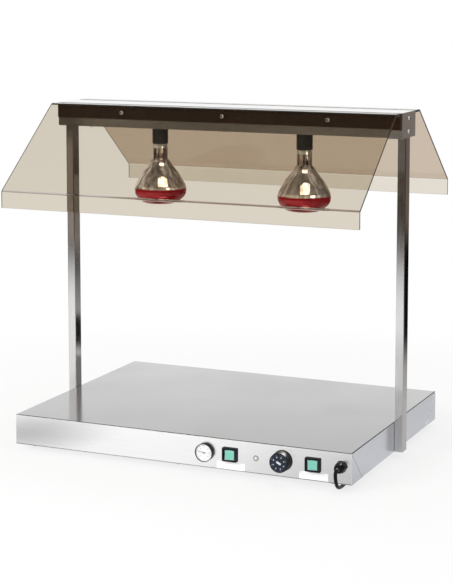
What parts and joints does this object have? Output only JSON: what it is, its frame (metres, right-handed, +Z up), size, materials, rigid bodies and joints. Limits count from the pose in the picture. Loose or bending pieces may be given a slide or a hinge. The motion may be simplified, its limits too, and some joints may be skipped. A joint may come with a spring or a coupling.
{
  "type": "food warmer with gantry",
  "caption": "Low heated steel serving base with front controls, side uprights and a gantry whose red infrared lamps hang between sloped smoked acrylic food guards.",
  "frame": {"origin": "on the table under the middle of the base", "axes": "+X to the right as seen from the control side, +Y to the rear, +Z up"},
  "size_m": [0.8784, 0.7867, 0.798],
  "materials": {
    "satin_steel": "satin stainless",
    "zinc_sheet": "galvanised",
    "foot_rubber": "matt",
    "strip_rubber": "matt",
    "zinc_fastener": "zinc plated",
    "bright_fastener": "bright",
    "smoked_acrylic": "clear smoked brown",
    "black_plastic": "satin",
    "ceramic": "glazed ceramic",
    "lamp_cap_metal": "bright",
    "ruby_glass": "ruby face, silvered cone",
    "filament_wire": "bare",
    "dial_white": "white enamel",
    "needle_grey": "satin",
    "clear_glass": "clear",
    "green_plastic": "translucent",
    "pilot_metal": "bright",
    "pilot_plastic": "clear",
    "thermostat_plastic": "moulded",
    "turned_steel": "turned",
    "capillary_metal": "bare copper",
    "legend_white": "white, blank",
    "element_sheath": "heat darkened",
    "mineral_wool": "fibrous",
    "wire_cover": "glass fibre sleeve",
    "cord_rubber": "matt",
    "pin_metal": "nickelled"
  },
  "bodies": {
    "cabinet": {"base_wiring": "wire_cover", "bottom_plate": "zinc_sheet", "cable_gland": "black_plastic", "cord_coil": "cord_rubber", "cord_tie": "black_plastic", "dome_screws": "bright_fastener", "element_clamps": "zinc_sheet", "foot_screws": "zinc_fastener", "front_gasket": "strip_rubber", "front_guard": "smoked_acrylic", "gantry_channel": "satin_steel", "gantry_cover": "satin_steel", "gland_lock_nut": "black_plastic", "gland_nut": "black_plastic", "heating_element": "element_sheath", "hex_nuts": "zinc_fastener", "insulation_slab": "mineral_wool", "lamp_wiring": "wire_cover", "left_end_cap": "satin_steel", "left_lamp_bulb": "ruby_glass", "left_lamp_cap": "lamp_cap_metal", "left_lamp_filament": "filament_wire", "left_lamp_holder": "black_plastic", "left_lamp_socket": "ceramic", "left_switch_body": "black_plastic", "left_upright": "satin_steel", "legend_plates": "legend_white", "pilot_body": "pilot_metal", "pilot_lens": "pilot_plastic", "plug_body": "black_plastic", "plug_pins": "pin_metal", "power_cord": "cord_rubber", "rear_gasket": "strip_rubber", "rear_guard": "smoked_acrylic", "right_end_cap": "satin_steel", "right_lamp_bulb": "ruby_glass", "right_lamp_cap": "lamp_cap_metal", "right_lamp_filament": "filament_wire", "right_lamp_holder": "black_plastic", "right_lamp_socket": "ceramic", "right_switch_body": "black_plastic", "right_upright": "satin_steel", "rubber_feet": "foot_rubber", "sheet_screws": "zinc_fastener", "terminal_block": "ceramic", "thermometer_case": "black_plastic", "thermometer_dial": "dial_white", "thermometer_lens": "clear_glass", "thermometer_probe": "capillary_metal", "thermostat_body": "thermostat_plastic", "thermostat_probe": "capillary_metal", "thermostat_screws": "zinc_fastener", "top_cover": "satin_steel", "upright_bolts": "zinc_fastener", "upright_plugs": "black_plastic"},
    "knob": {"thermostat_knob": "black_plastic", "thermostat_shaft": "turned_steel"},
    "needle": {"thermometer_needle": "needle_grey"},
    "left_rocker": {"left_rocker": "green_plastic"},
    "right_rocker": {"right_rocker": "green_plastic"}
  },
  "joints": [
    {"name": "knob_turn", "type": "hinge", "parent": "cabinet", "child": "knob", "pos_m": [0.257, -0.305, 0.054], "axis": [0, 1, 0], "range_deg": [0, 270]},
    {"name": "needle_turn", "type": "hinge", "parent": "cabinet", "child": "needle", "pos_m": [0.071, -0.305, 0.0515], "axis": [0, 1, 0], "range_deg": [-56, 214]},
    {"name": "left_rocker_tilt", "type": "hinge", "parent": "cabinet", "child": "left_rocker", "pos_m": [0.1325, -0.308, 0.053], "axis": [0, 0, -1], "range_deg": [0, 14]},
    {"name": "right_rocker_tilt", "type": "hinge", "parent": "cabinet", "child": "right_rocker", "pos_m": [0.328, -0.308, 0.053], "axis": [0, 0, -1], "range_deg": [0, 14]}
  ]
}
